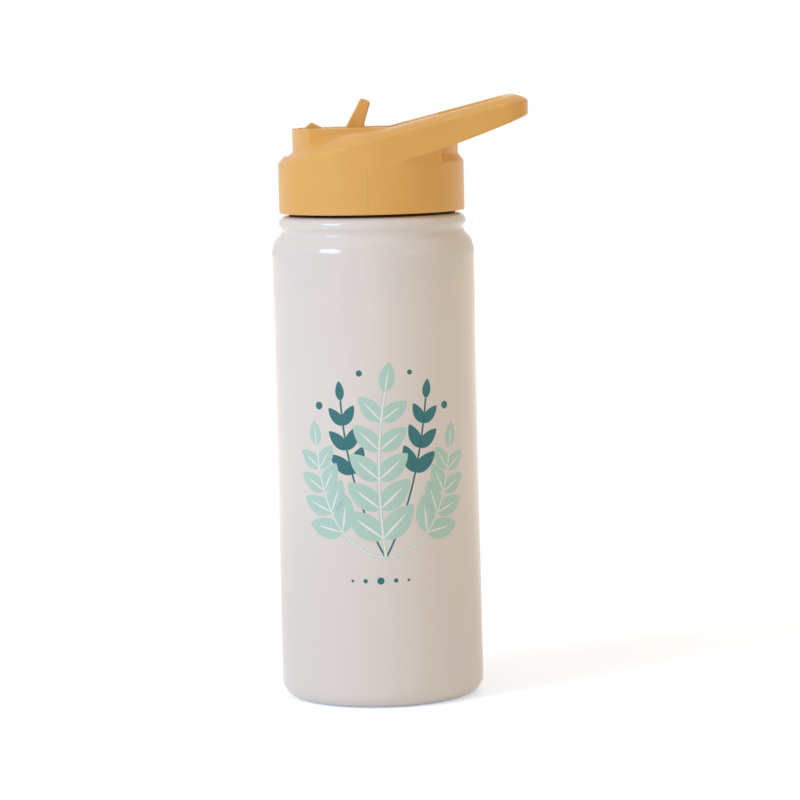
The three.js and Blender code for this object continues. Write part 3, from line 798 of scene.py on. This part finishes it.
TEAL = {"pairs": 4, "lean": 36, "bare": 0.55, "length": 10.5, "width": 5.0}
SIDE = {"pairs": 5, "lean": 43, "bare": 0.36}
MAIN = {"pairs": 6, "lean": 49, "bare": 0.12}
SIDE_LEAVES = {**SIDE, "length": 13.5, "width": 7.4, "stem_width": 0.9}
SIDE_VEINS = {**SIDE, "length": 10.0, "width": 0.65, "stem_width": 0.45}

teal_print = ink_film("teal_print", teal_ink, [
    sprig("teal_left", teal_left, teal_ink, 1, **TEAL),
    sprig("teal_right", teal_right, teal_ink, 1, **TEAL),
    dots("teal_dots", row + berries, teal_ink, 1),
])
mint_print = ink_film("mint_print", mint_ink, [
    sprig("mint_left", left_stem, mint_ink, 2, **SIDE_LEAVES),
    sprig("mint_right", right_stem, mint_ink, 2, **SIDE_LEAVES),
    sprig("mint_main", main_stem, mint_ink, 4, **MAIN, length=16.0, width=8.6, stem_width=1.2),
])
white_print = ink_film("white_print", white_ink, [
    sprig("veins_left", left_stem, white_ink, 3, **SIDE_VEINS),
    sprig("veins_right", right_stem, white_ink, 3, **SIDE_VEINS),
    sprig("veins_main", main_stem, white_ink, 5, **MAIN, length=12.0, width=0.85, stem_width=0.6),
])

# %% [markdown]
# Two more pieces come from the tree that turned the wall. The steel disc in the foot is pressed, with a
# shallow dish and one bead round it, both within the CAD disc's thickness. The gasket, which shows as a dark
# line under the lid, has two round lips with a groove between them.

# %% Base disc
DISC_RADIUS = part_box("base_cover")[1].y / MM
DISC_THICKNESS = 1.0
DISC_EDGE = 0.3
DISH_RADIUS = 14.0
DISH_HEIGHT = 0.35
disc_outline = (
    [(0, DISH_HEIGHT), (DISH_RADIUS, DISH_HEIGHT)]
    + arc(DISH_RADIUS, DISH_HEIGHT + 0.5, 0.5, -QUARTER, -0.2, 3)
    + [(15.2, 0.3), (16.2, 0.0), (DISC_RADIUS - 2.6, 0.0)]
    + [(DISC_RADIUS - 2.2, 0.25), (DISC_RADIUS - 1.6, 0.25), (DISC_RADIUS - 1.2, 0.0)]
    + arc(DISC_RADIUS - DISC_EDGE, DISC_EDGE, DISC_EDGE, -QUARTER, 0, 4)
    + [(DISC_RADIUS, DISC_THICKNESS), (0, DISC_THICKNESS)]
)
base_disc = turned("base_disc", disc_outline, brushed_steel, sharp=25)
report(base_disc)

# %% Black gasket under the lid
GASKET_INNER = 25.8
gasket_low, gasket_high = (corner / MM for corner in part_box("lid_gasket"))
lip = (gasket_high.z - gasket_low.z) / 4
gasket_outline = (
    [(GASKET_INNER, gasket_low.z)]
    + arc(gasket_high.y - lip, gasket_low.z + lip, lip, -QUARTER, QUARTER, 8)
    + arc(gasket_high.y - lip, gasket_high.z - lip, lip, -QUARTER, QUARTER, 8)
    + [(GASKET_INNER, gasket_high.z)]
)
seal_ring = turned("seal_ring", gasket_outline, black_silicone)
report(seal_ring)

# %% [markdown]
# The lid is one moulding: a round collar, a sloping deck that runs out into the carry loop, and a tower
# with the channel for the spout. Its deck isn't a plain plane. It climbs from a ridge at its edge over a
# soft crown, so a stack of outlines, each drawn in and lifted a little more, makes it. The forms are made
# one by one and joined or cut with Boolean modifiers. A mould has a small radius on every edge, and
# bevelling such junctions by hand is slow, so the joined form is remeshed fine and smoothed a little, which
# rounds every edge alike.

# %% Sizes of the lid in millimetres, with heights from the collar's lower edge
lid_low, lid_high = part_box("lid_shell")
LID_BOTTOM = lid_low.z / MM
COLLAR_RADIUS = lid_high.y / MM
LOOP_REACH = lid_high.x / MM
COLLAR_HEIGHT = 17.6
COLLAR_CHAMFER = (2.1, 2.6)
RIDGE_HEIGHT = 25.6
DECK_SLOPE = 0.235
CROWN_RISE = 3.1
CROWN_WIDTH_LOOP = 6.5
CROWN_WIDTH_TIP = 11.0
CROWN_WIDTH_RUN = 15.0
DECK_BULGE = 1.7
DECK_DIP = 0.8
DECK_WAVE = 30.0
LOOP_TAPER = math.radians(11)
LOOP_CORNER = 10.0
LOOP_ARM = 9.2
LOOP_BAR = 8.3
LOOP_OPENING_CORNER = 4.0
LOOP_TIP = 5.2
LOOP_ROOT_X = 6.0
LOOP_ROOT_DROP = 0.7
LOOP_BELLY = 0.9
TOWER_RADIUS = COLLAR_RADIUS - 3.65
TOWER_SHIFT = 1.7
TOWER_HALF_WIDTH = 18.4
TOWER_HEIGHT = 30.1
CHEEK_END = 24.8
MOULD_WALL = 2.2


def ridge_at(x):
    return RIDGE_HEIGHT + DECK_SLOPE * x


def crown_width_at(x):
    return mix(CROWN_WIDTH_LOOP, CROWN_WIDTH_TIP, clamp(-x / CROWN_WIDTH_RUN, 0, 1))


def crown_at(x):
    swing = DECK_BULGE if x < 0 else DECK_DIP
    return CROWN_RISE - swing * math.sin(math.pi * clamp(x / DECK_WAVE, -1, 1))


print("deck ridge:", round(ridge_at(-COLLAR_RADIUS), 1), "mm at the tip to", round(ridge_at(LOOP_REACH), 1))

# %% [markdown]
# From above, the lid is a disc that runs on into the two tapering arms of the loop. Half of that outline,
# from the -X end round the near side to the +X end, is enough, because the far side mirrors it.

# %% Outlines of the lid seen from above
loop_corner_x = LOOP_REACH - LOOP_CORNER


def arm_side(x):
    """Half the lid's width where the loop's arms run straight."""
    return (COLLAR_RADIUS - x * math.sin(LOOP_TAPER)) / math.cos(LOOP_TAPER)


loop_corner_y = arm_side(loop_corner_x) - LOOP_CORNER / math.cos(LOOP_TAPER)


def half_lid(inset):
    collar = arc(0, 0, COLLAR_RADIUS - inset, math.pi, 3 * QUARTER + LOOP_TAPER, 44)
    corner = arc(loop_corner_x, -loop_corner_y, LOOP_CORNER - inset, LOOP_TAPER - QUARTER, 0, 14)
    return collar + corner


def half_round(radius):
    return lambda inset: arc(0, 0, radius - inset, math.pi, 2 * math.pi, 60)


print("the loop's corner is", round(loop_corner_y, 1), "mm off the middle")

# %% Helpers that make and work the lid's forms
def strip(row, other):
    """Faces between two rows of points."""
    return [(row[j], row[j + 1], other[j + 1], other[j]) for j in range(len(row) - 1)]


def deck_block(name, half, low, drop=0.0, steps=14):
    """A block whose top is the deck. Each ring of points is an outline drawn in and lifted a little more."""
    foot = half(0)
    levels = [[(x, y, low) for x, y in foot]]
    for i in range(steps + 1):
        share = i / steps
        drawn = [half(crown_width_at(x) * share)[k] for k, (x, _) in enumerate(foot)]
        lift = 1 - (1 - share) ** 2
        levels.append([(x, y, ridge_at(x) + crown_at(x) * lift - drop) for x, y in drawn])
    count = len(foot)
    points = []
    for level in levels:
        points += level + [(x, -y, z) for x, y, z in level]
    near = [[k * 2 * count + j for j in range(count)] for k in range(len(levels))]
    far = [[index + count for index in row] for row in near]
    faces = strip(near[0], far[0]) + strip(near[-1], far[-1])
    for k in range(len(levels) - 1):
        faces += strip(near[k], near[k + 1]) + strip(far[k], far[k + 1])
        faces.append((near[k][-1], far[k][-1], far[k + 1][-1], near[k + 1][-1]))
    return tidy(piece_from(name, points, faces), 60)


def extruded(name, outline, low, high, sideways=False):
    """An outline pushed up between two heights or, if sideways, across the bottle between two Y values."""
    count = len(outline)
    place = (lambda a, b, h: (a, h, b)) if sideways else (lambda a, b, h: (a, b, h))
    points = [place(a, b, h) for h in (low, high) for a, b in outline]
    faces = [tuple(range(count)), tuple(range(count, 2 * count))]
    faces += [(i, (i + 1) % count, (i + 1) % count + count, i + count) for i in range(count)]
    return tidy(piece_from(name, points, faces), 60)


def joined(name, first, *steps):
    """Works a form through a list of (operation, tool) steps. The tools are used up."""
    for operation, tool in steps:
        cut = first.modifiers.new(tool.name, "BOOLEAN")
        cut.operation = operation
        cut.solver = "MANIFOLD"
        cut.object = tool
    plain(first)
    for _, tool in steps:
        discard(tool)
    first.name = name
    return first


def radiused(piece, voxel, rounds, kept):
    """Gives every edge the small radius that a mould has, then thins out the grid where it is plain."""
    grid = piece.modifiers.new("even grid", "REMESH")
    grid.mode = "VOXEL"
    grid.voxel_size = voxel * MM
    soften = piece.modifiers.new("soften", "SMOOTH")
    soften.factor = 0.5
    soften.iterations = rounds
    piece.modifiers.new("thin out", "DECIMATE").ratio = kept
    return plain(piece)


def settled(piece, x, z):
    """Puts a moulding in its place on the bottle, all in one plastic."""
    piece.data.transform(Matrix.Translation((x * MM, 0, z * MM)))
    piece.data.materials.clear()
    piece.data.materials.append(lid_plastic)
    tidy(piece, 60, gap=0.0005)
    report(piece)


print("helpers for the lid ready")

# %% [markdown]
# Four forms make the lid's outside: the turned collar, the loop, the deck over the collar and the tower.
# The loop is cut from the deck's own block, from the side to its bowed underside and from above to its
# opening, so deck and loop are one slope. A cut that goes right through reaches far past the lid.

# %% The lid's outside
REACH = 120.0
loop_run = LOOP_REACH - LOOP_ROOT_X
loop_root = COLLAR_HEIGHT - LOOP_ROOT_DROP
loop_rise = ridge_at(LOOP_REACH) - LOOP_TIP - loop_root


def loop_side():
    under = []
    for i in range(25):
        t = i / 24
        bow = 4 * LOOP_BELLY * t * (1 - t)
        under.append((LOOP_ROOT_X + loop_run * t, loop_root + loop_rise * t - bow))
    end = [(REACH, loop_root + 2 * loop_rise), (REACH, REACH), (-REACH, REACH)]
    return [(-REACH, COLLAR_HEIGHT / 2), (LOOP_ROOT_X, COLLAR_HEIGHT / 2)] + under + end


def loop_opening():
    def inner(x):
        return arm_side(x) - LOOP_ARM / math.cos(LOOP_TAPER)

    end_x = LOOP_REACH - LOOP_BAR - LOOP_OPENING_CORNER
    corner_y = inner(end_x) - LOOP_OPENING_CORNER / math.cos(LOOP_TAPER)
    near = arc(end_x, -corner_y, LOOP_OPENING_CORNER, LOOP_TAPER - QUARTER, 0, 10)
    far = [(x, -y) for x, y in near][::-1]
    return [(CHEEK_END, inner(CHEEK_END)), (CHEEK_END, -inner(CHEEK_END))] + near + far


def tower(name, inset, low, high):
    drum_radius = TOWER_RADIUS - inset
    side = TOWER_HALF_WIDTH - inset
    reach = math.asin(side / drum_radius)
    right_end = arc(TOWER_SHIFT, 0, drum_radius, -reach, reach, 32)
    left_end = arc(TOWER_SHIFT, 0, drum_radius, math.pi - reach, math.pi + reach, 32)
    return extruded(name, right_end + left_end, low, high)


def box(name, x0, x1, y0, y1, z0, z1):
    return extruded(name, [(x0, y0), (x1, y0), (x1, y1), (x0, y1)], z0, z1)


def lid_form():
    across, up_by = COLLAR_CHAMFER
    top = COLLAR_HEIGHT + up_by
    slope = [(COLLAR_RADIUS, COLLAR_HEIGHT), (COLLAR_RADIUS - across, top)]
    collar = turned("collar", [(0, 0), (COLLAR_RADIUS, 0)] + slope + [(0, top)], None)
    loop = joined(
        "loop",
        deck_block("loop", half_lid, 0),
        ("INTERSECT", extruded("side", loop_side(), -REACH, REACH, sideways=True)),
        ("DIFFERENCE", extruded("opening", loop_opening(), -REACH, REACH)),
    )
    deck = joined(
        "deck",
        deck_block("deck", half_round(COLLAR_RADIUS), COLLAR_HEIGHT / 2),
        ("INTERSECT", box("cheek", -REACH, CHEEK_END, -REACH, REACH, 0, REACH)),
    )
    crown = tower("tower", 0, COLLAR_HEIGHT / 2, TOWER_HEIGHT)
    return joined("lid_form", collar, ("UNION", loop), ("UNION", deck), ("UNION", crown))


print("the loop rises", round(loop_rise, 1), "mm from its root")

# %% [markdown]
# The channel that the spout folds into is cut before the edges are radiused, so that its rim is rounded like
# the rest. Its floor clears the spout's barrel, whose place comes from the hinge in the CAD model.

# %% The channel, and the radius on every edge
spout_flip = next(joint for joint in frame["joints"] if joint["name"] == "spout_flip")
PIVOT_X = spout_flip["pos_m"][0] / MM
PIVOT_HEIGHT = spout_flip["pos_m"][2] / MM - LID_BOTTOM
BARREL_RADIUS = 5.5
BARREL_ROOM = 1.3
TIP_WALL = 2.3
BACK_WALL = 4.3
CHANNEL_HALF = 8.8
CHANNEL_START = TOWER_SHIFT - TOWER_RADIUS + TIP_WALL
CHANNEL_END = TOWER_SHIFT + TOWER_RADIUS - BACK_WALL
CHANNEL_FLOOR = PIVOT_HEIGHT - BARREL_RADIUS - BARREL_ROOM

channel = box("channel", CHANNEL_START, CHANNEL_END, -CHANNEL_HALF, CHANNEL_HALF, CHANNEL_FLOOR, REACH)
lid_moulding = joined("lid_moulding", lid_form(), ("DIFFERENCE", channel))
radiused(lid_moulding, voxel=0.32, rounds=3, kept=0.3)
report(lid_moulding)

# %% [markdown]
# A moulding has walls of one thickness, so the lid is hollow. The hollow is the same forms, drawn in by one
# wall, less the walls round the channel. Then come the blind holes for the spout's pins, the seal's hole and
# the vent. These edges stay sharp, because little of them is ever seen.

# %% The lid's inside
PIN_RADIUS = 2.2
PIN_DEPTH = 1.5
SEAT_GAP = 0.3
SEAL_HOLE = 4.9
VENT_X = -14.0
VENT_RADIUS = 0.9
CHANNEL_SKIN = 1.8


def pipe(name, x, y_or_z, radius, low, high, sideways=False, steps=40):
    return extruded(name, arc(x, y_or_z, radius, 0, 2 * math.pi, steps)[:-1], low, high, sideways)


def lid_hollow():
    inner = COLLAR_RADIUS - MOULD_WALL
    wall = CHANNEL_HALF + MOULD_WALL
    ceiling = TOWER_HEIGHT - MOULD_WALL
    under_deck = joined(
        "under_deck",
        deck_block("under_deck", half_round(inner), -2, MOULD_WALL, 4),
        ("INTERSECT", box("limit", -REACH, CHEEK_END - MOULD_WALL, -REACH, REACH, -REACH, ceiling)),
    )
    walls = box(
        "walls", CHANNEL_START - MOULD_WALL, CHANNEL_END + MOULD_WALL, -wall, wall,
        CHANNEL_FLOOR - CHANNEL_SKIN, REACH,
    )
    return joined(
        "hollow",
        pipe("hollow", 0, 0, inner, -2, COLLAR_HEIGHT - SEAT_GAP, steps=96),
        ("UNION", under_deck),
        ("UNION", tower("attic", MOULD_WALL, -1, ceiling)),
        ("DIFFERENCE", walls),
    )


pin_reach = CHANNEL_HALF + PIN_DEPTH
hole_top = CHANNEL_FLOOR + 1
joined(
    "lid_moulding",
    lid_moulding,
    ("DIFFERENCE", lid_hollow()),
    ("DIFFERENCE", pipe("pin", PIVOT_X, PIVOT_HEIGHT, PIN_RADIUS + SEAT_GAP, -pin_reach, pin_reach, True)),
    ("DIFFERENCE", pipe("seal_hole", PIVOT_X, 0, SEAL_HOLE, 0, hole_top)),
    ("DIFFERENCE", pipe("vent", VENT_X, 0, VENT_RADIUS, 0, hole_top, steps=16)),
)
settled(lid_moulding, 0, LID_BOTTOM)

# %% [markdown]
# The spout is a flat mouthpiece with a bitten tip, a round barrel that it turns on, and a thumb tab. It is
# drawn round its pivot in two outlines, from the side and from above, and what both outlines share is the
# mouthpiece. The barrel, the two pins and the tab are joined to it, the edges are radiused as on the lid,
# and the bore is drilled last, so that its edge stays crisp.

# %% Flip spout
SPOUT_REACH = PIVOT_X - CHANNEL_START - 1.0
SPOUT_HALF = 7.0
SPOUT_TIP_HALF = 6.0
SPOUT_TIP_CHAMFER = 2.0
SPOUT_UNDER = 1.9
SPOUT_BACK = 6.4
SPOUT_BORE = 2.4
BEAK_HEIGHT = 10.2
BEAK_BACK = SPOUT_REACH - 3.6
BARREL_HALF = 8.3
TAB_HALF = 5.0
TAB_HEIGHT = 18.3
BORE_TILT = math.radians(6)


def spout_form():
    tip = -SPOUT_REACH
    side = [
        (-BEAK_BACK, BEAK_HEIGHT), (tip + 0.6, BEAK_HEIGHT - 2.4), (tip, BEAK_HEIGHT - 4.2),
        (tip + 0.4, 2.4 - SPOUT_UNDER), (tip + 3.2, 0.6 - SPOUT_UNDER),
        (-BARREL_RADIUS * 0.94, -SPOUT_UNDER), (0, -SPOUT_UNDER), (0, BARREL_RADIUS * 0.95),
        (-4, SPOUT_BACK - 0.3), (8 - BEAK_BACK, SPOUT_BACK + 0.2), (4.2 - BEAK_BACK, SPOUT_BACK + 1.7),
    ]
    near_plan = [
        (tip, SPOUT_TIP_CHAMFER - SPOUT_TIP_HALF), (tip + SPOUT_TIP_CHAMFER, -SPOUT_TIP_HALF),
        (-BARREL_RADIUS, -SPOUT_HALF), (0, -SPOUT_HALF),
    ]
    plan = near_plan + [(x, -y) for x, y in near_plan][::-1]
    tab = [
        (-16.2, SPOUT_BACK - 1), (-7.9, SPOUT_BACK - 1), (-8.6, SPOUT_BACK + 1.8), (-9.1, SPOUT_BACK + 2.8),
        (-6.8, TAB_HEIGHT - 1.8), (-7.3, TAB_HEIGHT - 0.9), (-9.7, TAB_HEIGHT), (-10.4, TAB_HEIGHT - 0.4),
        (-15.7, SPOUT_BACK + 1.8),
    ]
    pin_half = CHANNEL_HALF + PIN_DEPTH - SEAT_GAP
    mouthpiece = joined(
        "mouthpiece",
        extruded("mouthpiece", side, -BARREL_HALF, BARREL_HALF, True),
        ("INTERSECT", extruded("plan", plan, -REACH, REACH)),
    )
    return joined(
        "flip_spout_form",
        mouthpiece,
        ("UNION", pipe("barrel", 0, 0, BARREL_RADIUS, -BARREL_HALF, BARREL_HALF, True, 96)),
        ("UNION", pipe("pins", 0, 0, PIN_RADIUS, -pin_half, pin_half, True)),
        ("UNION", extruded("tab", tab, -TAB_HALF, TAB_HALF, True)),
    )


bore = pipe("bore", 0, 0, SPOUT_BORE, -REACH, REACH, steps=32)
bore.data.transform(Matrix.Rotation(BORE_TILT - QUARTER, 4, "Y"))
spout_moulding = radiused(spout_form(), voxel=0.28, rounds=3, kept=0.5)
joined("spout_moulding", spout_moulding, ("DIFFERENCE", bore))
settled(spout_moulding, PIVOT_X, LID_BOTTOM + PIVOT_HEIGHT)

# %% [markdown]
# The steel liner, the plate and the glass bead in the foot, the getter, the insert, the seals and the straw
# have the right shape in the CAD model, so their meshes stay and get a finish. Each new piece rides on the
# body that moves it, and stands for a CAD node where it has one.

# %% Finishes of the CAD pieces that stay
KEPT = {
    "inner_liner": brushed_steel,
    "vacuum_base": brushed_steel,
    "vacuum_seal_bead": seal_glass,
    "getter": getter_metal,
    "inner_lid": lid_plastic,
    "spout_seal": clear_silicone,
    "vent_valve": clear_silicone,
    "straw": straw_plastic,
}
for node, material in KEPT.items():
    slots = nodes[node].data.materials
    slots.clear()
    slots.append(material)
print("CAD pieces refinished:", len(KEPT))

# %% Which body each piece rides on, and which CAD node it stands for
for piece, body, node, slot in (
    (painted_wall, "bottle", "outer_shell", "painted_shell"),
    (teal_print, "bottle", None, "painted_shell"),
    (mint_print, "bottle", None, "painted_shell"),
    (white_print, "bottle", None, "painted_shell"),
    (base_disc, "bottle", "base_cover", "steel"),
    (seal_ring, "gasket", "lid_gasket", "black_silicone"),
    (lid_moulding, "lid", "lid_shell", "lid_plastic"),
    (spout_moulding, "spout", "flip_spout", "lid_plastic"),
):
    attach(piece, body)
    if node:
        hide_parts(node)
    print(piece.name, "rides on", body)
